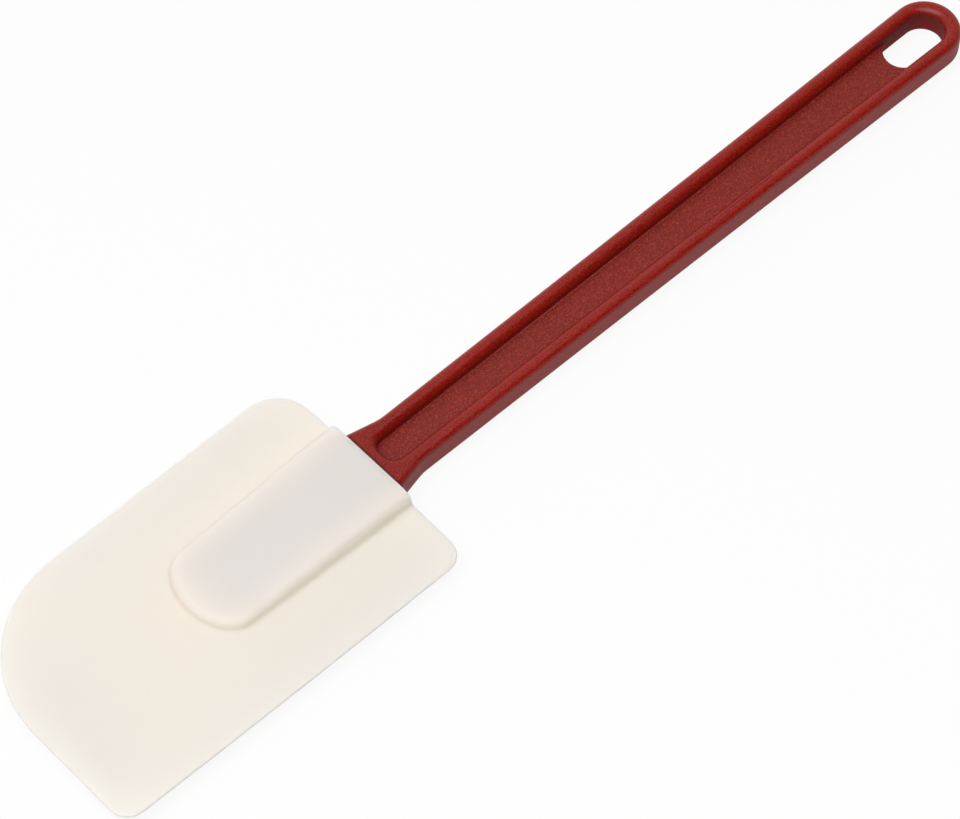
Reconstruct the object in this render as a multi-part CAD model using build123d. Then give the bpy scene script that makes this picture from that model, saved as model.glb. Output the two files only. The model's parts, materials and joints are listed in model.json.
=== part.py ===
from build123d import *
import os

# A kitchen spatula: a stiff handle whose tang runs into a soft silicone blade.
# Millimetres. X runs along the handle to its hanging slot, Y across it and Z up.
# The origin is under the middle of the whole spatula, on the surface it lies on.

# Blade: a thin paddle, widest at its rear edge, where the handle comes out
blade_length = 117.7
blade_front_width = 72.6
blade_rear_width = 74.6
blade_side_bulge = 0.35
blade_middle_thickness = 2.5
blade_edge_thickness = 1.1
lip_taper_length = 46.0
sweep_corner_radius = 36.5
heel_corner_radius = 6.0
far_shoulder_radius = 11.6
near_shoulder_radius = 6.2

# Boss: the raised sleeve on both faces of the blade, which holds the tang
boss_rear_width = 32.4
boss_nose_width = 29.8
boss_side_length = 55.6
boss_nose_length = 9.9
boss_rear_height = 5.4
boss_nose_height = 3.9
boss_flat_length = 16.0
boss_crown_radius = 150.0
boss_top_round = 3.0
boss_mouth_round = 0.5
boss_root_fillet = 1.2

# Handle: two rims joined by a thin web, round at its far end, with a hanging slot
handle_length = 225.3
handle_thickness = 9.5
handle_neck_width = 17.6
handle_end_width = 20.6
handle_side_hollow = 0.15
handle_shoulder_width = 22.4
handle_flare_length = 10.5
handle_flare_fillet = 14.0
handle_edge_fillet = 2.0
rim_width = 4.5
rim_inner_fillet = 2.3
end_rim_width = 5.1
web_thickness = 2.0
web_root_fillet = 0.4
pocket_start = 3.8
pocket_corner_radius = 3.4
slot_length = 20.1

# Tang: the end of the handle inside the boss, with holes that the silicone fills
tang_length = 50.0
tang_rear_width = 19.0
tang_nose_width = 15.0
tang_rear_thickness = 7.2
tang_nose_thickness = 3.4
tang_nose_round = 5.0
lock_hole_diameter = 6.0
lock_hole_start = 14.0
lock_hole_spacing = 20.0
lock_hole_count = 2

# Places worked out from the sizes
overall_length = blade_length + handle_length
mouth_x = blade_length - overall_length / 2
front_x = mouth_x - blade_length
end_x = mouth_x + handle_length
middle_z = boss_rear_height
overrun = blade_middle_thickness
same_place = blade_edge_thickness / 100

# Shares that pick out edges and faces: the middle of an edge, the least height of
# the blade's lens under the boss, and the most that an upright face's normal rises
half_share = 0.5
lens_share = 0.8
steepest_share = 0.5


def face_of(*edges):
    """A face in the XY plane inside a closed line of edges."""
    return make_face(Curve() + list(edges))


def mirrored_face(points):
    """A face from points along its upper edge, closed by the same points below."""
    lower = [(x, -y) for x, y in reversed(points)]
    return make_face(Polyline(*points, *lower, close=True))


def corner(face, x, y):
    """The corner of a face that lies nearest to a place."""
    return min(face.vertices(), key=lambda v: (v.X - x) ** 2 + (v.Y - y) ** 2)


def middle(edge):
    """The middle point of an edge."""
    return edge @ half_share


def off_plane(edges, x):
    """The edges whose middles don't lie on the plane across the spatula at x."""
    return [e for e in edges if abs(middle(e).X - x) > same_place]


def long_side(start, end):
    """A side of the handle or its recess, drawn in a little at its middle."""
    waist = ((start[0] + end[0]) / 2, (start[1] + end[1]) / 2)
    hollow = handle_side_hollow if waist[1] > 0 else -handle_side_hollow
    return ThreePointArc(start, (waist[0], waist[1] - hollow), end)


def blade_outline():
    """The paddle seen from above: one sweeping front corner and three small ones."""
    front, rear = blade_front_width / 2, blade_rear_width / 2
    side_middle = (front + rear) / 2 + blade_side_bulge
    middle_x = (front_x + mouth_x) / 2
    face = face_of(
        Line((mouth_x, -rear), (mouth_x, rear)),
        ThreePointArc((mouth_x, rear), (middle_x, side_middle), (front_x, front)),
        Line((front_x, front), (front_x, -front)),
        ThreePointArc((front_x, -front), (middle_x, -side_middle), (mouth_x, -rear)),
    )
    corners = [
        (front_x, front, sweep_corner_radius),
        (front_x, -front, heel_corner_radius),
        (mouth_x, rear, far_shoulder_radius),
        (mouth_x, -rear, near_shoulder_radius),
    ]
    for x, y, radius in corners:
        face = fillet(corner(face, x, y), radius)
    return face


def lens_profile(half_span):
    """The blade seen from its front: thick in the middle and thin at its edges."""
    thick, thin = blade_middle_thickness / 2, blade_edge_thickness / 2
    return face_of(
        ThreePointArc((-half_span, thin), (0, thick), (half_span, thin)),
        Line((half_span, thin), (half_span, -thin)),
        ThreePointArc((half_span, -thin), (0, -thick), (-half_span, -thin)),
        Line((-half_span, -thin), (-half_span, thin)),
    )


def lip_profile():
    """The blade seen from its side: a wedge that thins it towards its front lip."""
    thick, thin = blade_middle_thickness / 2, blade_edge_thickness / 2
    slope_share = (thick - thin) / lip_taper_length
    rear_x = mouth_x + overrun
    return mirrored_face([
        (front_x, thin),
        (rear_x, thin + slope_share * (rear_x - front_x)),
    ])


def paddle():
    """The blade without its boss, in the middle plane."""
    widest = blade_rear_width / 2 + blade_side_bulge
    plate = extrude(blade_outline(), blade_middle_thickness, both=True)
    across = Plane((front_x, 0, 0), x_dir=(0, 1, 0), z_dir=(1, 0, 0)) * lens_profile(widest)
    along = Plane.XZ * lip_profile()
    plate &= extrude(across, blade_length)
    return plate & extrude(along, blade_rear_width, both=True)


def boss():
    """The sleeve that stands out of both faces of the blade, in the middle plane."""
    rear, nose = boss_rear_width / 2, boss_nose_width / 2
    nose_x = mouth_x - boss_side_length
    flat_x = mouth_x - boss_flat_length
    plan = face_of(
        Line((mouth_x, -rear), (mouth_x, rear)),
        Line((mouth_x, rear), (nose_x, nose)),
        EllipticalCenterArc((nose_x, 0), boss_nose_length, nose, start_angle=90, arc_size=180),
        Line((nose_x, -nose), (mouth_x, -rear)),
    )
    side = mirrored_face([
        (nose_x - boss_nose_length, boss_nose_height),
        (flat_x, boss_rear_height),
        (mouth_x, boss_rear_height),
    ])
    for height in (boss_rear_height, -boss_rear_height):
        side = fillet(corner(side, flat_x, height), boss_crown_radius)
    block = extrude(plan, boss_rear_height, both=True)
    block &= extrude(Plane.XZ * side, boss_rear_width, both=True)
    upright = [f for f in block.faces() if abs(f.normal_at().Z) < steepest_share]
    crown = [e for f in upright for e in off_plane(f.edges(), mouth_x)
             if abs((e @ 0).Z - (e @ 1).Z) < boss_nose_height and abs(middle(e).Z) > same_place]
    return fillet(ShapeList(crown), boss_top_round)


def silicone_blank():
    """Paddle and boss as one moulding, before the tang's room is taken out."""
    blank = paddle() + boss()
    nose_x = mouth_x - boss_side_length - boss_nose_length
    half_thick = blade_middle_thickness / 2
    root = [e for e in blank.edges()
            if middle(e).X > nose_x - same_place and abs(middle(e).Y) < boss_rear_width / 2 + same_place
            and half_thick * lens_share < abs(middle(e).Z) < half_thick + same_place
            and e.length > boss_nose_width]
    blank = fillet(root, boss_root_fillet)
    mouth = blank.faces().filter_by(GeomType.PLANE).sort_by(Axis.X)[-1]
    reach = boss_rear_width / 2 + 2 * boss_root_fillet
    return fillet([e for e in mouth.edges() if abs(middle(e).Y) < reach], boss_mouth_round)


def handle_outline():
    """The handle seen from above: a flared shoulder, straight sides and a round end."""
    shoulder, neck = handle_shoulder_width / 2, handle_neck_width / 2
    end = handle_end_width / 2
    neck_x = mouth_x + handle_flare_length
    centre_x = end_x - end
    face = face_of(
        Line((mouth_x, -shoulder), (mouth_x, shoulder)),
        Line((mouth_x, shoulder), (neck_x, neck)),
        long_side((neck_x, neck), (centre_x, end)),
        CenterArc((centre_x, 0), end, start_angle=90, arc_size=-180),
        long_side((centre_x, -end), (neck_x, -neck)),
        Line((neck_x, -neck), (mouth_x, -shoulder)),
    )
    for y in (neck, -neck):
        face = fillet(corner(face, neck_x, y), handle_flare_fillet)
    return face


def pocket_outline():
    """The recess between the rims, which the web closes in the middle."""
    start_x = mouth_x + pocket_start
    start = handle_neck_width / 2 - rim_width
    end = handle_end_width / 2 - rim_width
    centre_x = end_x - end_rim_width - end
    face = face_of(
        Line((start_x, -start), (start_x, start)),
        long_side((start_x, start), (centre_x, end)),
        CenterArc((centre_x, 0), end, start_angle=90, arc_size=-180),
        long_side((centre_x, -end), (start_x, -start)),
    )
    for y in (start, -start):
        face = fillet(corner(face, start_x, y), pocket_corner_radius)
    return face


def slot_outline():
    """The far end of the pocket, where the web is open from a round edge onwards."""
    radius = handle_end_width / 2 - rim_width
    near_x = end_x - end_rim_width - slot_length + radius
    reach = slot_length
    opened = Pos(near_x, 0) * Circle(radius)
    opened += Pos(near_x + reach / 2, 0) * Rectangle(reach, 2 * radius)
    return pocket_outline() & opened


def grip():
    """The handle outside the blade, in the middle plane."""
    half = handle_thickness / 2
    half_web = web_thickness / 2
    block = extrude(handle_outline(), half, both=True)
    for side in (Axis.Z, -Axis.Z):
        outer = block.faces().sort_by(side)[-1]
        block = fillet(ShapeList(off_plane(outer.edges(), mouth_x)), handle_edge_fillet)
    recess = Pos(0, 0, half_web) * extrude(pocket_outline(), half)
    floor = recess.faces().sort_by(Axis.Z)[0]
    recess = fillet(floor.edges(), web_root_fillet)
    block -= recess
    block -= mirror(recess, Plane.XY)
    block -= extrude(slot_outline(), handle_thickness, both=True)
    for side in (Axis.Z, -Axis.Z):
        outer = block.faces().filter_by(GeomType.PLANE).sort_by(side)[-1]
        block = fillet(outer.inner_wires()[0].edges(), rim_inner_fillet)
    return block


def tang():
    """The tapered tongue inside the boss, from the shoulder to its rounded nose."""
    nose_x = mouth_x - tang_length
    plan = mirrored_face([
        (nose_x, tang_nose_width / 2),
        (mouth_x + overrun, tang_rear_width / 2),
    ])
    for y in (tang_nose_width / 2, -tang_nose_width / 2):
        plan = fillet(corner(plan, nose_x, y), tang_nose_round)
    side = mirrored_face([
        (nose_x, tang_nose_thickness / 2),
        (mouth_x + overrun, tang_rear_thickness / 2),
    ])
    tongue = extrude(plan, tang_rear_thickness, both=True)
    tongue &= extrude(Plane.XZ * side, tang_rear_width, both=True)
    for number in range(lock_hole_count):
        hole_x = mouth_x - lock_hole_start - number * lock_hole_spacing
        tongue -= Pos(hole_x, 0) * Cylinder(lock_hole_diameter / 2, 2 * tang_rear_thickness)
    return tongue


handle = Pos(0, 0, middle_z) * (grip() + tang())
silicone_blade = Pos(0, 0, middle_z) * silicone_blank() - handle

os.makedirs("parts", exist_ok=True)
for name, solid in (("handle", handle), ("silicone_blade", silicone_blade)):
    export_step(solid, f"parts/{name}.step")
    print(name, solid.is_valid, len(solid.solids()), round(solid.volume, 1), solid.bounding_box())
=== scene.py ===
# %% [markdown]
# # A silicone spatula
# A bowl-scraping spatula lies flat: a red plastic handle with an I-shaped section, and a cream
# silicone blade that is moulded round the handle's tang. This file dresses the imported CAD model.
# The CAD handle has the right shape and only needs its plastic. The blade could keep its CAD
# shape too, but moulded silicone is soft in all its edges, and a subdivision surface gives that
# better than many small fillets, so the blade is modelled anew.

# %% Load the frame
import json
import math

import bmesh
import bpy
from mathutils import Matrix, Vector


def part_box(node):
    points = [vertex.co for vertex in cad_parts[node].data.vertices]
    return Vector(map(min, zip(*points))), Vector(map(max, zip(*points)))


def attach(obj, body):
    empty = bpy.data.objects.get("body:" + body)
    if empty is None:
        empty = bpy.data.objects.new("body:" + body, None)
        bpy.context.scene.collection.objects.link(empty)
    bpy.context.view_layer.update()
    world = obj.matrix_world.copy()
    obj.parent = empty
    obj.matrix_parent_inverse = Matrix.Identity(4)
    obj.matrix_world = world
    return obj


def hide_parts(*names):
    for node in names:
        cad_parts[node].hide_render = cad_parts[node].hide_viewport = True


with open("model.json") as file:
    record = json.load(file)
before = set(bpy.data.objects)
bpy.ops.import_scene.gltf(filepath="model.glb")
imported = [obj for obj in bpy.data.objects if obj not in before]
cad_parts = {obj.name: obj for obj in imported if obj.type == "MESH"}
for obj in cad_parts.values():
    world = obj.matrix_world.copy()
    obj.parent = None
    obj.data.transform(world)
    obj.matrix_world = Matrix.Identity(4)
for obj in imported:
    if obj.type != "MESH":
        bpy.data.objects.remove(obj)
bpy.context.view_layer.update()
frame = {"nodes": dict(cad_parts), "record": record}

# %% [markdown]
# ## Measures
# Blender counts in metres, so lengths are written in millimetres times MM. They could all be
# typed in, but what meets the handle is better read from the frame, so that it still fits when
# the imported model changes: the mouth, where the handle comes out of the silicone, the front lip,
# the middle plane, the slot and the round end of the handle. The frame gives the box that fits
# through the slot, so the slot itself starts a little sooner. The blade's own sizes are written
# here once. Widths are halves, measured from the middle line to a side, and heights are measured
# from the middle plane up.

# %% Measures from the frame
MM = 0.001
END_RADIUS, SLOT_LEAD = 10.9 * MM, 3.5 * MM
handle = frame["nodes"]["handle"]
blade_low, blade_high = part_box("silicone_blade")
slot_low = frame["record"]["physics"]["openings"][0]["box_m"][0]
MOUTH_X = blade_high[0]
FRONT_X = blade_low[0]
MIDDLE_Z = (blade_low[2] + blade_high[2]) / 2
SLOT_X = slot_low[0] - SLOT_LEAD
END_CENTRE_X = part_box("handle")[1][0] - END_RADIUS
print("mouth", round(MOUTH_X, 4), "front", round(FRONT_X, 4), "middle", round(MIDDLE_Z, 4))
print("slot from", round(SLOT_X, 4), "round end about", round(END_CENTRE_X, 4))

# %% Measures of the blade and the boss
REAR_HALF, FRONT_HALF, SIDE_BULGE = 37.3 * MM, 36.3 * MM, 0.35 * MM
SWEEP, HEEL, FAR_SHOULDER, NEAR_SHOULDER = 36.5 * MM, 6.0 * MM, 11.6 * MM, 6.2 * MM
THICK, THIN, LIP_TAPER = 1.25 * MM, 0.55 * MM, 46.0 * MM
FOOT_REAR, FOOT_NOSE = 17.4 * MM, 15.8 * MM
BOSS_SIDE, BOSS_TIP = 55.6 * MM, 11.0 * MM
BOSS_REAR_HIGH, BOSS_NOSE_HIGH, BOSS_FLAT = 5.4 * MM, 3.8 * MM, 16.0 * MM
print("blade", round((MOUTH_X - FRONT_X) / MM, 1), "mm long, boss",
      round((BOSS_SIDE + BOSS_TIP) / MM, 1), "mm long")

# %% [markdown]
# ## Lines that the blade is built on
# The blade is one smooth skin. It could be cut and bevelled out of a block, but faces then crowd
# together in the corners and leave dents. Here every ring of the mesh has the same number of
# points, so that rings join in clean rows of four-sided faces. A ring starts on the blade's rear
# edge, runs forward along the far side, round the front and back along the near side.
#
# A subdivision surface pulls the points of a curve inwards: it passes through a mean of one sixth
# of the point before, four sixths of the point itself and one sixth of the point after. So the
# points of an arc stand a little outside it.

# %% Arcs that keep their radius once they are smoothed
SMALL_STEPS, SWEEP_STEPS = 4, 8


def stand_out(step):
    """How many times the radius the points of an arc lie out, for this turn between them."""
    return 3 / (2 + math.cos(step))


def arc(centre, radius, start, steps):
    """Points on a quarter turn. Its two ends have one neighbour on the arc, so half the rise."""
    step = math.radians(90 / steps)
    spread = stand_out(step)
    points = []
    for number in range(steps + 1):
        share = (1 + spread) / 2 if number in (0, steps) else spread
        angle = math.radians(start) + number * step
        points.append((centre[0] + radius * share * math.cos(angle),
                       centre[1] + radius * share * math.sin(angle)))
    return points


print("small arcs stand out", round(stand_out(math.radians(90 / SMALL_STEPS)), 4), "times,",
      "the sweep", round(stand_out(math.radians(90 / SWEEP_STEPS)), 4), "times")

# %% Outline of the blade
FAR_STEPS, FRONT_STEPS, NEAR_STEPS = 5, 3, 8


def side_half(x):
    """Half the blade's width at x, slightly bulged between its ends."""
    share = (MOUTH_X - x) / (MOUTH_X - FRONT_X)
    bulge = 4 * SIDE_BULGE * share * (1 - share)  # a parabola, highest halfway
    return REAR_HALF + (FRONT_HALF - REAR_HALF) * share + bulge


def side(start_x, end_x, steps, sign):
    """Points inside a long side, closer together near its ends."""
    points = []
    for number in range(1, steps):
        share = 0.5 - 0.5 * math.cos(math.pi * number / steps)
        x = start_x + (end_x - start_x) * share
        points.append((x, sign * side_half(x)))
    return points


def blade_line(inset):
    """The blade's outline, inset by a distance, from rear edge to rear edge."""
    sweep_x, heel_x = FRONT_X + SWEEP, FRONT_X + HEEL
    far_x, near_x = MOUTH_X - FAR_SHOULDER, MOUTH_X - NEAR_SHOULDER
    far_y, near_y = side_half(far_x) - FAR_SHOULDER, NEAR_SHOULDER - side_half(near_x)
    sweep_y, heel_y = side_half(sweep_x) - SWEEP, HEEL - side_half(heel_x)
    line = arc((far_x, far_y), FAR_SHOULDER - inset, 0, SMALL_STEPS)
    line += [(x, y - inset) for x, y in side(far_x, sweep_x, FAR_STEPS, 1)]
    line += arc((sweep_x, sweep_y), SWEEP - inset, 90, SWEEP_STEPS)
    line += [(FRONT_X + inset, sweep_y + (heel_y - sweep_y) * number / FRONT_STEPS)
             for number in range(1, FRONT_STEPS)]
    line += arc((heel_x, heel_y), HEEL - inset, 180, SMALL_STEPS)
    line += [(x, y + inset) for x, y in side(heel_x, near_x, NEAR_STEPS, -1)]
    line += arc((near_x, near_y), NEAR_SHOULDER - inset, 270, SMALL_STEPS)
    line[0] = (MOUTH_X, far_y - inset)
    line[-1] = (MOUTH_X, near_y + inset)
    return line


print(len(blade_line(0)), "points round the blade")

# %% Outline of the boss
BOSS_ROWS, NOSE_STEPS = 9, 18
HALF_RING = BOSS_ROWS + NOSE_STEPS // 2


def boss_line(inset):
    """The foot of the boss, inset by a distance, from rear edge round the nose and back."""
    nose_x = MOUTH_X - BOSS_SIDE
    rear, nose, tip = FOOT_REAR - inset, FOOT_NOSE - inset, BOSS_TIP - inset
    far = [(MOUTH_X - BOSS_SIDE * row / BOSS_ROWS, rear + (nose - rear) * row / BOSS_ROWS)
           for row in range(BOSS_ROWS)]
    around = []
    for number in range(NOSE_STEPS + 1):
        angle = math.pi * number / NOSE_STEPS
        around.append((nose_x - tip * math.sin(angle), nose * math.cos(angle)))
    return far + around + [(x, -y) for x, y in reversed(far)]


print(len(boss_line(0)), "points round the boss")

# %% [markdown]
# ## Heights
# The real blade is a thin lens across its width, and its front lip thins again to a scraping
# edge. The boss is level near the mouth and slopes down to its nose. Both could be sculpted, but
# a rule that gives the height at a place keeps the rings exactly even, so nothing ripples when
# the surface is smoothed.

# %% Heights of the blade and of the boss
def blade_high_at(x, y):
    """Half the blade's thickness at a place."""
    lens = THIN + (THICK - THIN) * (1 - (y / REAR_HALF) ** 2)
    wedge = THIN + (THICK - THIN) * (x - FRONT_X) / LIP_TAPER
    return max(THIN, min(lens, wedge))


def boss_high_at(x):
    """The boss's height over the middle plane, level at first and then sloping."""
    run = BOSS_SIDE + BOSS_TIP - BOSS_FLAT
    down = max(0.0, MOUTH_X - BOSS_FLAT - x) / run
    return BOSS_REAR_HIGH + (BOSS_NOSE_HIGH - BOSS_REAR_HIGH) * down


def lift(line, height):
    """Points of a line, each at the height that a rule gives there."""
    return [Vector((x, y, height(x, y))) for x, y in line]


def top_height(x, y):
    """The boss's top as a rule for lift: it is level from side to side."""
    return boss_high_at(x)


def rim_height(x, y):
    """The blade's rim as a rule for lift: it is as thin as its lip."""
    return THIN


print("boss", round(boss_high_at(MOUTH_X) / MM, 2), "mm high at the mouth and",
      round(boss_high_at(MOUTH_X - BOSS_SIDE - BOSS_TIP) / MM, 2), "mm at its nose")

# %% [markdown]
# ## The rings
# From the boss's middle outwards come the flat top, three rings that round its upper edge, two
# that make the soft root at its foot, and then the thin blade in a few wide steps to its rim. A
# bevel could round the edge and the root, but its width can't change along the boss. Here the
# rounding grows and shrinks with the boss's height.

# %% Rounded edge and soft root of the boss
ROUND_WIDE, ROUND_SHARE, WALL_IN = 3.4 * MM, 0.62, 1.4 * MM
ROOT_ROUND, ROOT_SHARE = 1.2 * MM, 0.3
EDGE_ANGLES, ROOT_ANGLES = (75, 45, 15), (22.5, 67.5)


def top_round(angle):
    """A ring on the boss's rounded upper edge. 0 degrees is the wall and 90 the top."""
    spread = stand_out(math.radians(EDGE_ANGLES[0] - EDGE_ANGLES[1]))
    turn = math.radians(angle)
    inset = WALL_IN + ROUND_WIDE * (1 - spread * math.cos(turn))

    def height(x, y):
        high, low = boss_high_at(x), blade_high_at(x, y)
        rise = ROUND_SHARE * (high - low)
        return high - rise + rise * spread * math.sin(turn)

    return lift(boss_line(inset), height)


def root(angle):
    """A ring on the soft root of the boss. 0 degrees is the wall and 90 the blade."""
    spread = stand_out(math.radians(ROOT_ANGLES[1] - ROOT_ANGLES[0]))
    turn = math.radians(angle)

    def height(x, y):
        rise = min(ROOT_ROUND, ROOT_SHARE * (boss_high_at(x) - blade_high_at(x, y)))
        return blade_high_at(x, y) + rise * (1 - spread * math.sin(turn))

    return lift(boss_line(ROOT_ROUND * spread * math.cos(turn)), height)


print(len(EDGE_ANGLES), "rings round the edge,", len(ROOT_ANGLES), "round the root")

# %% Middle line of the boss's top
TOP_INSET, AXIS_TIP, STRAIGHT_SHARE = 7.0 * MM, 57.1 * MM, 0.85


def between(first, second, share):
    """A line a share of the way from one line to another."""
    return [tuple(start + (end - start) * share for start, end in zip(one, other))
            for one, other in zip(first, second)]


axis_half = []
for row in range(HALF_RING + 1):
    if row <= BOSS_ROWS:
        reach = STRAIGHT_SHARE * row / BOSS_ROWS
    else:
        past = (row - BOSS_ROWS) / (HALF_RING - BOSS_ROWS)
        reach = STRAIGHT_SHARE + (1 - STRAIGHT_SHARE) * past
    axis_half.append((MOUTH_X - AXIS_TIP * reach, 0.0))
axis_line = axis_half + axis_half[-2::-1]
top_line = boss_line(TOP_INSET)
inner_line = between(top_line, axis_line, 0.5)
print(len(axis_half), "points on the middle line")

# %% Place of every ring
FOOT_OUT, RIM_IN = 2.2 * MM, 2.6 * MM
WIDE_STEPS = (0, 0.3, 0.65, 1)
foot_line = boss_line(-FOOT_OUT)
edge_line = blade_line(RIM_IN)
rings = [lift(top_line, top_height)]
rings += [top_round(angle) for angle in EDGE_ANGLES]
rings += [root(angle) for angle in ROOT_ANGLES]
rings += [lift(between(foot_line, edge_line, share), blade_high_at) for share in WIDE_STEPS]
rings += [lift(blade_line(0), rim_height)]
print(len(rings), "rings of", len(rings[0]), "points")

# %% [markdown]
# ## Modelling the blade
# The mesh starts as a grid primitive, three points wide, that is laid along the top of the boss.
# Its open edge is then extruded outwards ring by ring, down over the boss and out over the blade.
# The helpers select by place, because a script has no mouse to pick with, and an operator acts on
# all that is selected.

# %% Helpers for edit mode
def only(piece):
    """Select one object alone and make it active."""
    if bpy.context.mode != "OBJECT":
        bpy.ops.object.mode_set(mode="OBJECT")
    bpy.ops.object.select_all(action="DESELECT")
    piece.select_set(True)
    bpy.context.view_layer.objects.active = piece


def select_edges(piece, wanted):
    """Select in edit mode the edges that a rule names."""
    mesh = bmesh.from_edit_mesh(piece.data)
    bpy.ops.mesh.select_mode(type="EDGE")
    bpy.ops.mesh.select_all(action="DESELECT")
    for edge in mesh.edges:
        edge.select_set(bool(wanted(edge)))
    bmesh.update_edit_mesh(piece.data)


def near(point, places):
    """The number of the place that lies nearest to a point."""
    return min(range(len(places)), key=lambda number: (places[number] - point).length_squared)


print("helpers made:", only.__name__, select_edges.__name__, near.__name__)

# %% Start on the boss's top
SAME_POINT = 0.02 * MM
inner = lift(inner_line, top_height)
axis = lift(axis_half, top_height)
bpy.ops.object.select_all(action="DESELECT")
bpy.ops.mesh.primitive_grid_add(x_subdivisions=2, y_subdivisions=HALF_RING, size=1)
blade = bpy.context.object
blade.name = "silicone_paddle"
bpy.ops.object.mode_set(mode="EDIT")
mesh = bmesh.from_edit_mesh(blade.data)
mesh.verts.layers.float.new("painted_fold_light")
for vert in mesh.verts:
    row = round((vert.co.y + 0.5) * HALF_RING)
    column = round(vert.co.x * 2)
    vert.co = {1: inner[row], 0: axis[row], -1: inner[-1 - row]}[column]
bmesh.update_edit_mesh(blade.data)
bpy.ops.mesh.select_all(action="SELECT")
bpy.ops.mesh.remove_doubles(threshold=SAME_POINT)
print(len(bmesh.from_edit_mesh(blade.data).verts), "points on the boss's top")

# %% [markdown]
# Every new ring also gets a number on its points, an attribute that says where light is painted
# into the fold at the boss's foot. The silicone reads it later and paints that fold lighter and
# warmer, standing in for light that is caught between boss and blade. It could be painted by
# hand, but as it is written with the ring it always sits at the foot. It is full on the near side
# and fades out towards the far side, which faces the bright room.

# %% Extrude ring after ring outwards
ON_REAR = 0.01 * MM
FOLD_LIGHT_DEPTHS = (0, 0, 0.25, 1, 1, 0.7, 0.1, 0, 0, 0, 0)  # one for each ring


def on_rear(part):
    """Whether an edge or a face lies in the blade's flat rear."""
    return all(abs(vert.co.x - MOUTH_X) < ON_REAR for vert in part.verts)


def outer(edge):
    """Whether an edge is an open one that the next ring grows from."""
    return edge.is_boundary and not on_rear(edge)


def nearness(y):
    """One at the near side of the boss, none at its far side and half in the middle."""
    return min(1, max(0, 0.5 - y / (2 * FOOT_NOSE)))


last = inner
for ring, depth in zip(rings, FOLD_LIGHT_DEPTHS):
    select_edges(blade, outer)
    bpy.ops.mesh.extrude_edges_move()
    mesh = bmesh.from_edit_mesh(blade.data)
    painted_fold_light = mesh.verts.layers.float["painted_fold_light"]
    for vert in [vert for vert in mesh.verts if vert.select]:
        vert.co = ring[near(vert.co, last)]
        vert[painted_fold_light] = depth * nearness(vert.co.y)
    bmesh.update_edit_mesh(blade.data)
    last = ring
print(len(mesh.faces), "faces on the upper half")

# %% [markdown]
# The blade is the same above and below its middle plane. The last ring is extruded once more and
# flattened onto that plane, and a mirror makes the lower half. Modelling both halves would be
# twice the work and would never be quite even. The rear face is one n-gon.

# %% Close the rim and mirror it
select_edges(blade, outer)
bpy.ops.mesh.extrude_edges_move()
bpy.ops.transform.resize(value=(1, 1, 0), center_override=(0, 0, 0))
only(blade)
mirror = blade.modifiers.new("lower_half", "MIRROR")
mirror.use_axis = (False, False, True)
mirror.merge_threshold = SAME_POINT
bpy.ops.object.modifier_apply(modifier=mirror.name)
bpy.ops.object.mode_set(mode="EDIT")
select_edges(blade, lambda edge: edge.is_boundary)
bpy.ops.mesh.edge_face_add()
bpy.ops.mesh.select_all(action="SELECT")
bpy.ops.mesh.normals_make_consistent(inside=False)
mesh = bmesh.from_edit_mesh(blade.data)
print(len(mesh.faces), "faces,", sum(edge.is_boundary for edge in mesh.edges), "open edges")

# %% [markdown]
# A smoothed mesh rounds every edge widely, unless more edges stand close beside it. The real rim
# and mouth are rounded by less than half a millimetre. Creases could hold them, but they come out
# razor sharp. A narrow bevel in two steps gives the small even round, and an inset in the rear
# face keeps that face flat.

# %% Round the rim and the mouth
RIM_ROUND, RIM_STEPS, SHARP = 0.42 * MM, 2, math.radians(65)
MOUTH_INSET = 0.1 * MM
bpy.ops.mesh.select_mode(type="EDGE")
bpy.ops.mesh.select_all(action="DESELECT")
bpy.ops.mesh.edges_select_sharp(sharpness=SHARP)
print(sum(edge.select for edge in mesh.edges), "rim edges")
bpy.ops.mesh.bevel(offset=RIM_ROUND, segments=RIM_STEPS, profile=0.5, affect="EDGES")
mesh = bmesh.from_edit_mesh(blade.data)
bpy.ops.mesh.select_mode(type="FACE")
bpy.ops.mesh.select_all(action="DESELECT")
for face in mesh.faces:
    face.select_set(on_rear(face))
bmesh.update_edit_mesh(blade.data)
print("rear faces selected:", sum(face.select for face in mesh.faces))
bpy.ops.mesh.inset(thickness=MOUTH_INSET)

# %% Smooth the blade and hand it to the frame
SMOOTH_LEVELS = 2
only(blade)
bpy.ops.transform.translate(value=(0, 0, MIDDLE_Z))
bpy.ops.object.transform_apply(location=True, rotation=True, scale=True)
smooth = blade.modifiers.new("smooth", "SUBSURF")
smooth.levels = smooth.render_levels = SMOOTH_LEVELS
bpy.ops.object.modifier_apply(modifier=smooth.name)
bpy.ops.object.shade_smooth()
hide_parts("silicone_blade")
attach(blade, "root")
print(len(blade.data.polygons), "faces,",
      [round(length / MM, 1) for length in blade.dimensions], "mm")

# %% [markdown]
# ## Grain of a moulded surface
# Both moulds have fine eroded walls, so the plastic and the silicone carry the same kind of grain
# at different sizes. It could be painted in an image, but noise on Object coordinates needs no
# file, has no seam and lies still on the piece. One node group makes it from two noises: a fine
# one for height and flecks, and a slow one for the cloudy tone that a moulding has. It is built
# once, and each material places it with its own sizes.

# %% Helpers for node trees
def add(tree, kind, **values):
    """A node in a tree, with its plain settings."""
    node = tree.nodes.new(kind)
    for name, value in values.items():
        setattr(node, name, value)
    return node


def remap(tree, source, low, high, first=0.0, last=1.0, way="SMOOTHSTEP"):
    """Map a range of a value onto another one."""
    node = add(tree, "ShaderNodeMapRange", interpolation_type=way)
    for name, value in (("From Min", low), ("From Max", high),
                        ("To Min", first), ("To Max", last)):
        node.inputs[name].default_value = value
    tree.links.new(source, node.inputs["Value"])
    return node.outputs["Result"]


print("helpers made:", add.__name__, remap.__name__)

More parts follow.
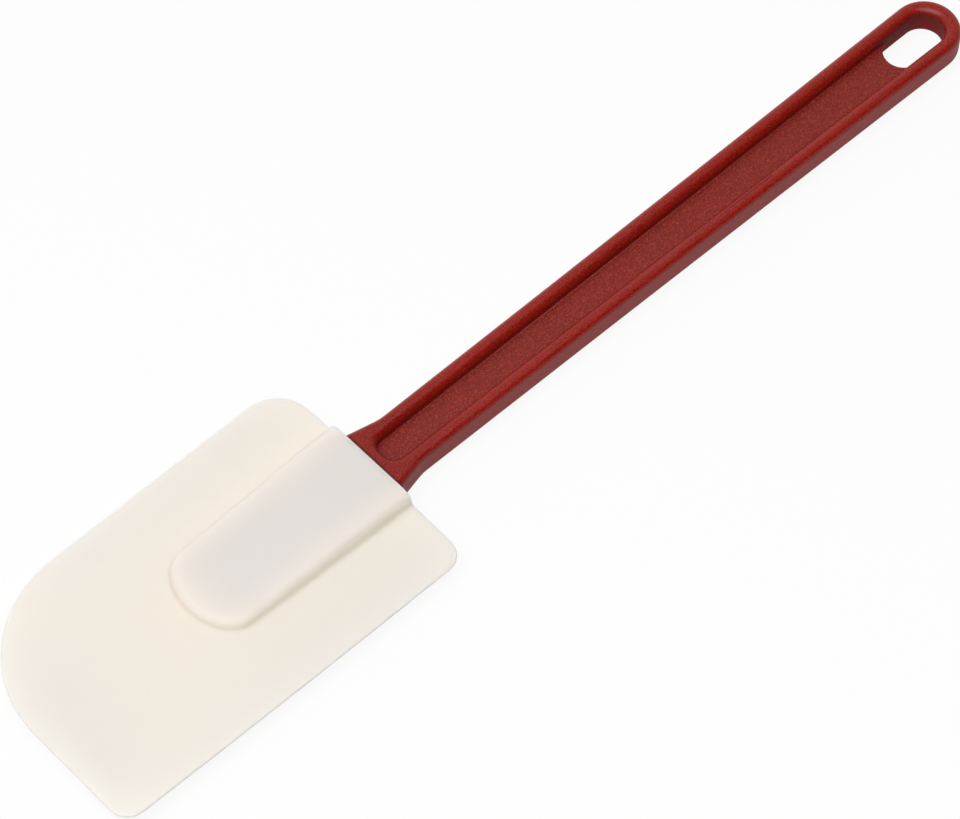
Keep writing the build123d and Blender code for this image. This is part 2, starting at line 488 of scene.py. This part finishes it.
# %% Grain group
BRIGHT_RANGE, DARK_RANGE = (0.52, 0.68), (0.48, 0.34)
GRAIN_RANGE, CLOUD_RANGE = (0.3, 0.7), (0.3, 0.7)
grain = bpy.data.node_groups.new("moulded_grain", "ShaderNodeTree")
for name, kind in (("Place", "NodeSocketVector"), ("Grains per metre", "NodeSocketFloat"),
                   ("Clouds per metre", "NodeSocketFloat")):
    grain.interface.new_socket(name=name, in_out="INPUT", socket_type=kind)
for name in ("Height", "Bright fleck", "Dark fleck", "Cloud"):
    grain.interface.new_socket(name=name, in_out="OUTPUT", socket_type="NodeSocketFloat")
entry = add(grain, "NodeGroupInput")
leave = add(grain, "NodeGroupOutput")
noises = []
for size, detail in (("Grains per metre", 1.5), ("Clouds per metre", 3)):
    noise = add(grain, "ShaderNodeTexNoise")
    noise.inputs["Detail"].default_value = detail
    noise.inputs["Roughness"].default_value = 0.5
    grain.links.new(entry.outputs["Place"], noise.inputs["Vector"])
    grain.links.new(entry.outputs[size], noise.inputs["Scale"])
    noises.append(noise.outputs["Fac"])
fine, slow = noises
grain.links.new(fine, leave.inputs["Height"])
grain.links.new(remap(grain, fine, *BRIGHT_RANGE), leave.inputs["Bright fleck"])
grain.links.new(remap(grain, fine, *DARK_RANGE), leave.inputs["Dark fleck"])
grain.links.new(remap(grain, slow, *CLOUD_RANGE), leave.inputs["Cloud"])
print("grain gives", [item.name for item in grain.interface.items_tree if item.in_out == "OUTPUT"])

# %% [markdown]
# ## Helpers that both materials use
# A material starts as one Principled shader. What is the same all over is set on the shader's own
# sockets, and what changes over the surface is linked to it: a colour that is mixed step by step,
# a roughness, and a bump that takes the grain as its height. Written as functions, each step of
# a material is one line that says what it is for.

# %% Start of a material
def moulding(name, grains, clouds):
    """A material with the grain group placed on its Object coordinates."""
    material = bpy.data.materials.new(name)
    material.use_nodes = True
    tree = material.node_tree
    place = add(tree, "ShaderNodeTexCoord").outputs["Object"]
    group = add(tree, "ShaderNodeGroup", node_tree=grain)
    tree.links.new(place, group.inputs["Place"])
    group.inputs["Grains per metre"].default_value = grains
    group.inputs["Clouds per metre"].default_value = clouds
    return material, tree, tree.nodes["Principled BSDF"], group.outputs, place


def grained(tree, shader, height, strength, depth):
    """Bump the surface by the grain."""
    bump = add(tree, "ShaderNodeBump")
    bump.inputs["Strength"].default_value = strength
    bump.inputs["Distance"].default_value = depth
    tree.links.new(height, bump.inputs["Height"])
    tree.links.new(bump.outputs["Normal"], shader.inputs["Normal"])


print("helpers made:", moulding.__name__, grained.__name__)

# %% Numbers and colours that change over a surface
def split(tree, vector):
    """The X, Y and Z of a vector."""
    node = add(tree, "ShaderNodeSeparateXYZ")
    tree.links.new(vector, node.inputs[0])
    return node.outputs


def reckon(tree, way, first, second=0.0):
    """One Math node on two values, either of them a plain number."""
    node = add(tree, "ShaderNodeMath", operation=way)
    for entrance, value in zip(node.inputs, (first, second)):
        if isinstance(value, (int, float)):
            entrance.default_value = value
        else:
            tree.links.new(value, entrance)
    return node.outputs[0]


def blend(tree, share, first, second, way="MIX"):
    """A colour between two, by a share that changes over the surface."""
    node = add(tree, "ShaderNodeMix", data_type="RGBA", blend_type=way)
    # The Mix node has same-named sockets for numbers, vectors and colours. These are the colours'.
    factor, under, over = node.inputs[0], node.inputs[6], node.inputs[7]
    tree.links.new(share, factor)
    for entrance, colour in ((under, first), (over, second)):
        if isinstance(colour, tuple):
            entrance.default_value = (*colour, 1)
        else:
            tree.links.new(colour, entrance)
    return node.outputs[2]


print("helpers made:", split.__name__, reckon.__name__, blend.__name__)

# %% [markdown]
# ## Red plastic
# The handle is one deep red moulding, but not of one tone. Its web was eroded coarser than its
# rims, so it looks browner and more flecked. Painted shade darkens the web where it meets the
# rims and darkens the neck, painted shade makes the walls of the slot deep red, and a painted
# shadow runs as a dark line along the silicone at the mouth. Upright walls are duller. Each could
# be a piece of its own, but places are found here by coordinates and by which way a face looks, so
# the CAD handle stays whole and a changed size doesn't upset them.

# %% Where the red plastic changes
RED_GRAINS, RED_CLOUDS, RED_SPECULAR = 2400, 45, 0.42
WEB_HEIGHTS, WEB_LEVEL, WALL_LEVEL = (1.2 * MM, 1.8 * MM), (0.8, 0.98), (0.35, 0.75)
red, tree, shader, grains, place = moulding("red_plastic", RED_GRAINS, RED_CLOUDS)
shader.inputs["Specular IOR Level"].default_value = RED_SPECULAR
at = split(tree, place)
facing = split(tree, add(tree, "ShaderNodeTexCoord").outputs["Normal"])
level = reckon(tree, "ABSOLUTE", facing["Z"])
off_middle = reckon(tree, "ABSOLUTE", reckon(tree, "SUBTRACT", at["Z"], MIDDLE_Z))
off_axis = reckon(tree, "ABSOLUTE", at["Y"])
web = reckon(tree, "MULTIPLY", remap(tree, level, *WEB_LEVEL),
             remap(tree, off_middle, *WEB_HEIGHTS, 1, 0))
upright = remap(tree, level, *WALL_LEVEL, 1, 0)
print("web found within", round(WEB_HEIGHTS[1] / MM, 1), "mm of the middle plane")

# %% Painted shade at the neck, beside the web and along the mouth
NECK_SHADE_RUN, NECK_SHADE_SHARE = 38.0 * MM, 0.52
WEB_HALF_NECK, WEB_HALF_END = 4.2 * MM, 5.8 * MM
WEB_SHADE_FROM, WEB_SHADE_TO, WEB_SHADE_SHARE = -2.2 * MM, -0.1 * MM, 0.45
MOUTH_SHADOW_FROM, MOUTH_SHADOW_TO, MOUTH_SHADOW_SHARE = 0.55 * MM, 1.1 * MM, 0.85
# Painted shade: the neck is darkened towards the mouth.
neck = remap(tree, at["X"], MOUTH_X, MOUTH_X + NECK_SHADE_RUN, NECK_SHADE_SHARE, 0)
# Painted shade: the web is darkened in a band beside the rims' walls, where they block the light.
half_web = remap(tree, at["X"], MOUTH_X, END_CENTRE_X, WEB_HALF_NECK, WEB_HALF_END, "LINEAR")
beside = reckon(tree, "SUBTRACT", off_axis, half_web)
painted_web_shade = remap(tree, beside, WEB_SHADE_FROM, WEB_SHADE_TO, 0, WEB_SHADE_SHARE)
painted_web_shade = reckon(tree, "MULTIPLY", web, painted_web_shade)
# Painted shadow: a dark line on the handle just past the mouth, where the silicone's lip shades
# it.
mouth_shadow = remap(tree, at["X"], MOUTH_X + MOUTH_SHADOW_FROM, MOUTH_X + MOUTH_SHADOW_TO, MOUTH_SHADOW_SHARE, 0)
print("neck shade over", round(NECK_SHADE_RUN / MM), "mm, dark line to", round(MOUTH_SHADOW_TO / MM, 1), "mm")

# %% Walls of the slot, painted in shade and made rougher
SLOT_RADII, SLOT_RAMP = (7.5 * MM, 8.3 * MM), 1.5 * MM
past_end = reckon(tree, "MAXIMUM", reckon(tree, "SUBTRACT", at["X"], END_CENTRE_X), 0)
from_slot = add(tree, "ShaderNodeCombineXYZ")
tree.links.new(past_end, from_slot.inputs["X"])
tree.links.new(at["Y"], from_slot.inputs["Y"])
radius = add(tree, "ShaderNodeVectorMath", operation="LENGTH")
tree.links.new(from_slot.outputs[0], radius.inputs[0])
# Painted shade: the slot's upright walls are darkened to a deep red, and they are rougher too.
slot_wall = reckon(tree, "MULTIPLY", remap(tree, radius.outputs["Value"], *SLOT_RADII, 1, 0),
                   remap(tree, at["X"], SLOT_X - SLOT_RAMP, SLOT_X))
slot_wall = reckon(tree, "MULTIPLY", slot_wall, upright)
print("slot walls from", round(SLOT_X / MM, 1), "mm within", round(SLOT_RADII[1] / MM, 1), "mm")

# %% Colour of the red plastic
# The neck, web-shade, slot and mouth-shadow reds are painted shade; the rest are the plastic's own
# tones and flecks.
RIM_RED, WEB_RED = (0.312, 0.0075, 0.0015), (0.214, 0.0087, 0.0008)
NECK_SHADE_RED, WEB_SHADE_RED = (0.165, 0.0020, 0.0008), (0.090, 0.0015, 0.0005)
SLOT_SHADE_RED, MOUTH_SHADOW_RED = (0.190, 0.0020, 0.0010), (0.090, 0.0020, 0.0020)
CLOUD_RED, BRIGHT_RED = (0.265, 0.0050, 0.0015), (0.370, 0.0420, 0.0150)
DARK_RED = (0.165, 0.0015, 0.0010)
RED_CLOUD_SHARE, DARK_SHARE, RIM_FLECKS, WEB_FLECKS = 0.35, 0.8, 0.45, 0.8
cloudy = reckon(tree, "MULTIPLY", grains["Cloud"], RED_CLOUD_SHARE)
bright = reckon(tree, "MULTIPLY", grains["Bright fleck"],
                remap(tree, web, 0, 1, RIM_FLECKS, WEB_FLECKS))
dark = reckon(tree, "MULTIPLY", grains["Dark fleck"], DARK_SHARE)
tone = blend(tree, web, RIM_RED, WEB_RED)
for share, colour in ((neck, NECK_SHADE_RED), (painted_web_shade, WEB_SHADE_RED), (slot_wall, SLOT_SHADE_RED),
                      (cloudy, CLOUD_RED), (bright, BRIGHT_RED), (dark, DARK_RED),
                      (mouth_shadow, MOUTH_SHADOW_RED)):
    tone = blend(tree, share, tone, colour)
tree.links.new(tone, shader.inputs["Base Color"])
print("red from", RIM_RED, "on the rims to", WEB_RED, "on the web")

# %% Roughness and grain of the red plastic
RIM_ROUGH, WEB_ROUGH, RED_GRAIN_ROUGH = 0.33, 0.46, 0.05
SLOT_ROUGH, WALL_ROUGH = 0.22, 0.24
RED_BUMP, RED_DEPTH = 0.9, 0.05 * MM
rough = remap(tree, web, 0, 1, RIM_ROUGH, WEB_ROUGH)
for more in (remap(tree, grains["Height"], *GRAIN_RANGE, -RED_GRAIN_ROUGH, RED_GRAIN_ROUGH),
             reckon(tree, "MULTIPLY", slot_wall, SLOT_ROUGH),
             reckon(tree, "MULTIPLY", upright, WALL_ROUGH)):
    rough = reckon(tree, "ADD", rough, more)
tree.links.new(rough, shader.inputs["Roughness"])
grained(tree, shader, grains["Height"], RED_BUMP, RED_DEPTH)
for slot in handle.material_slots:
    slot.material = red
print("red plastic on", len(handle.material_slots), "slot of the handle")

# %% [markdown]
# ## Cream silicone
# Light goes some millimetres into silicone and comes out beside where it went in, which softens
# every shade. A plain cream would look like chalk, so the shader has Subsurface. Four things
# change the cream over the blade: the tang shows through the boss as a faint grey, painted light
# makes the fold at the boss's foot lighter and warmer on the near side, a painted highlight
# brightens the edge of the mouth, and the whole moulding is a little cloudy.

# %% Silicone that lets light in
CREAM_GRAINS, CREAM_CLOUDS = 1300, 22
LIGHT_SPREAD, LIGHT_DEPTH = 0.95, 3.5 * MM
cream, tree, shader, grains, place = moulding("cream_silicone", CREAM_GRAINS, CREAM_CLOUDS)
shader.inputs["Subsurface Weight"].default_value = 1.0
shader.inputs["Subsurface Radius"].default_value = (LIGHT_SPREAD, LIGHT_SPREAD, LIGHT_SPREAD)
shader.inputs["Subsurface Scale"].default_value = LIGHT_DEPTH
at = split(tree, place)
print("light goes about", round(LIGHT_SPREAD * LIGHT_DEPTH / MM, 1), "mm into the silicone")

# %% Colour of the silicone
TANG_ACROSS, TANG_ALONG = (5.0 * MM, 21.0 * MM), (72.0 * MM, 50.0 * MM)
MOUTH_HIGHLIGHT_RANGE, FOLD_LIGHT_SHARE, CREAM_CLOUD_SHARE = (0.8 * MM, 0.45 * MM), 0.97, 0.5
BLADE_CREAM, TANG_GREY = (0.914, 0.827, 0.737), (0.776, 0.744, 0.708)
FOLD_LIGHT_CREAM, MOUTH_HIGHLIGHT_CREAM = (1.0, 0.886, 0.782), (0.990, 0.920, 0.870)
CLOUD_TINT = (0.985, 0.978, 0.968)
across = remap(tree, reckon(tree, "ABSOLUTE", at["Y"]), *TANG_ACROSS, 1, 0)
along = remap(tree, at["X"], MOUTH_X - TANG_ALONG[0], MOUTH_X - TANG_ALONG[1])
tang = reckon(tree, "MULTIPLY", across, along)
# Painted light: the fold at the boss's foot is made lighter and warmer, fully on the near side, to
# lift the shade there.
fold_light = add(tree, "ShaderNodeAttribute", attribute_name="painted_fold_light").outputs["Fac"]
# Painted highlight: the edge of the mouth is made brighter, as if it caught the light.
mouth = remap(tree, at["X"], MOUTH_X - MOUTH_HIGHLIGHT_RANGE[0], MOUTH_X - MOUTH_HIGHLIGHT_RANGE[1])
cloudy = reckon(tree, "MULTIPLY", grains["Cloud"], CREAM_CLOUD_SHARE)
tone = blend(tree, tang, BLADE_CREAM, TANG_GREY)
tone = blend(tree, reckon(tree, "MULTIPLY", fold_light, FOLD_LIGHT_SHARE), tone, FOLD_LIGHT_CREAM)
tone = blend(tree, mouth, tone, MOUTH_HIGHLIGHT_CREAM)
tone = blend(tree, cloudy, tone, CLOUD_TINT, "MULTIPLY")
tree.links.new(tone, shader.inputs["Base Color"])
print("cream", BLADE_CREAM, "with the tang as", TANG_GREY)

# %% Roughness and grain of the silicone
CREAM_ROUGH, CREAM_GRAIN_ROUGH = (0.40, 0.47), 0.02
CREAM_BUMP, CREAM_DEPTH = 0.12, 0.02 * MM
rough = remap(tree, grains["Height"], *GRAIN_RANGE, -CREAM_GRAIN_ROUGH, CREAM_GRAIN_ROUGH)
rough = reckon(tree, "ADD", remap(tree, grains["Cloud"], 0, 1, *CREAM_ROUGH), rough)
tree.links.new(rough, shader.inputs["Roughness"])
grained(tree, shader, grains["Height"], CREAM_BUMP, CREAM_DEPTH)
blade.data.materials.append(cream)
print("cream silicone on", blade.name)

# %% [markdown]
# ## Floor
# The spatula lies on plain white paper. Stronger lamps could bring the paper up to white, but
# would bleach the spatula too. So the paper glows, but only for the camera and in reflections
# and see-through things, and its matt part, a tenth, keeps a faint shadow.

# %% White paper floor
PAPER_SIZE, PAPER_DROP, PAPER_WHITE, GLOW_SHARE = 6, 0.3 * MM, 0.88, 0.9
bpy.ops.object.select_all(action="DESELECT")
bpy.ops.mesh.primitive_plane_add(size=PAPER_SIZE, location=(0, 0, -PAPER_DROP))
floor = bpy.context.object
floor.name = "floor"
paper = bpy.data.materials.new("white_paper")
paper.use_nodes = True
tree = paper.node_tree
tree.nodes.clear()
matt = add(tree, "ShaderNodeBsdfDiffuse")
matt.inputs["Color"].default_value = (PAPER_WHITE, PAPER_WHITE, PAPER_WHITE, 1)
glow = add(tree, "ShaderNodeEmission")
rays = add(tree, "ShaderNodeLightPath").outputs
mixed = add(tree, "ShaderNodeMixShader")
output = add(tree, "ShaderNodeOutputMaterial")
seen = reckon(tree, "MAXIMUM", rays["Is Glossy Ray"], rays["Is Transmission Ray"])
seen = reckon(tree, "MAXIMUM", seen, rays["Is Camera Ray"])
tree.links.new(reckon(tree, "MULTIPLY", seen, GLOW_SHARE), mixed.inputs["Fac"])
tree.links.new(matt.outputs[0], mixed.inputs[1])
tree.links.new(glow.outputs[0], mixed.inputs[2])
tree.links.new(mixed.outputs[0], output.inputs["Surface"])
floor.data.materials.append(paper)
print("floor", round(PAPER_DROP / MM, 1), "mm under the spatula")

# %% [markdown]
# ## Light
# The photograph has one large soft light near the camera and a bright room on the far side, so
# the plastic mirrors a glow that grows away from the camera. A sun or a small lamp would draw
# hard shadows that aren't there. A square panel, higher than the camera, gives the first light.
# The world gives the second: almost dark behind the camera, and brighter towards +Y and a little
# towards the end of the handle, +X.

# %% Soft panel
def aim(thing, place, towards):
    """Put a lamp or the camera in the scene, looking along a direction."""
    bpy.context.scene.collection.objects.link(thing)
    thing.location = place
    thing.rotation_mode = "QUATERNION"
    thing.rotation_quaternion = towards.to_track_quat("-Z", "Y")


PANEL_PLACE, PANEL_SIZE, PANEL_POWER = Vector((-0.40, -0.15, 1.15)), 1.25, 15.2
panel = bpy.data.lights.new("window", "AREA")
panel.shape = "SQUARE"
panel.size = PANEL_SIZE
panel.energy = PANEL_POWER
aim(bpy.data.objects.new("window", panel), PANEL_PLACE, -PANEL_PLACE)
print("panel", round(PANEL_PLACE.length, 2), "m from the spatula")

# %% Bright room
ROOM_WAY, ROOM_RANGE, ROOM_STRENGTH = (0.5, 0.87, 0), (-0.35, 1.0), (0.02, 1.04)
world = bpy.data.worlds.new("room")
bpy.context.scene.world = world
world.use_nodes = True
tree = world.node_tree
tree.nodes.clear()
along_room = add(tree, "ShaderNodeVectorMath", operation="DOT_PRODUCT")
tree.links.new(add(tree, "ShaderNodeTexCoord").outputs["Generated"], along_room.inputs[0])
along_room.inputs[1].default_value = ROOM_WAY
walls = add(tree, "ShaderNodeBackground")
strength = remap(tree, along_room.outputs["Value"], *ROOM_RANGE, *ROOM_STRENGTH, "LINEAR")
tree.links.new(strength, walls.inputs["Strength"])
output = add(tree, "ShaderNodeOutputWorld")
tree.links.new(walls.outputs[0], output.inputs["Surface"])
print("the room glows from", ROOM_STRENGTH[0], "to", ROOM_STRENGTH[1], "towards", ROOM_WAY)

# %% [markdown]
# ## Camera
# The camera looks down steeply across the blade's near side. It could be turned until it looks
# right, but here its place and angles were worked out from the straight edges, corners and slot
# of the spatula in the photograph, so that the render lies on it edge for edge. A long lens keeps
# the far end of the handle almost as large as the blade.

# %% Camera at the photograph's angle
LENS, SENSOR_WIDTH = 150.0, 36.0
AZIMUTH, ELEVATION = math.radians(-133.06), math.radians(57.26)
CAMERA_PLACE = (-0.4201, -0.4344, 0.9175)
camera_data = bpy.data.cameras.new("camera")
camera_data.lens, camera_data.sensor_width = LENS, SENSOR_WIDTH
back = Vector((math.cos(ELEVATION) * math.cos(AZIMUTH),
               math.cos(ELEVATION) * math.sin(AZIMUTH),
               math.sin(ELEVATION)))
camera = bpy.data.objects.new("camera", camera_data)
aim(camera, CAMERA_PLACE, -back)
bpy.context.scene.camera = camera
bpy.context.scene.view_settings.view_transform = "Standard"
print("camera", round(Vector(CAMERA_PLACE).length, 2), "m away with a", LENS, "mm lens")
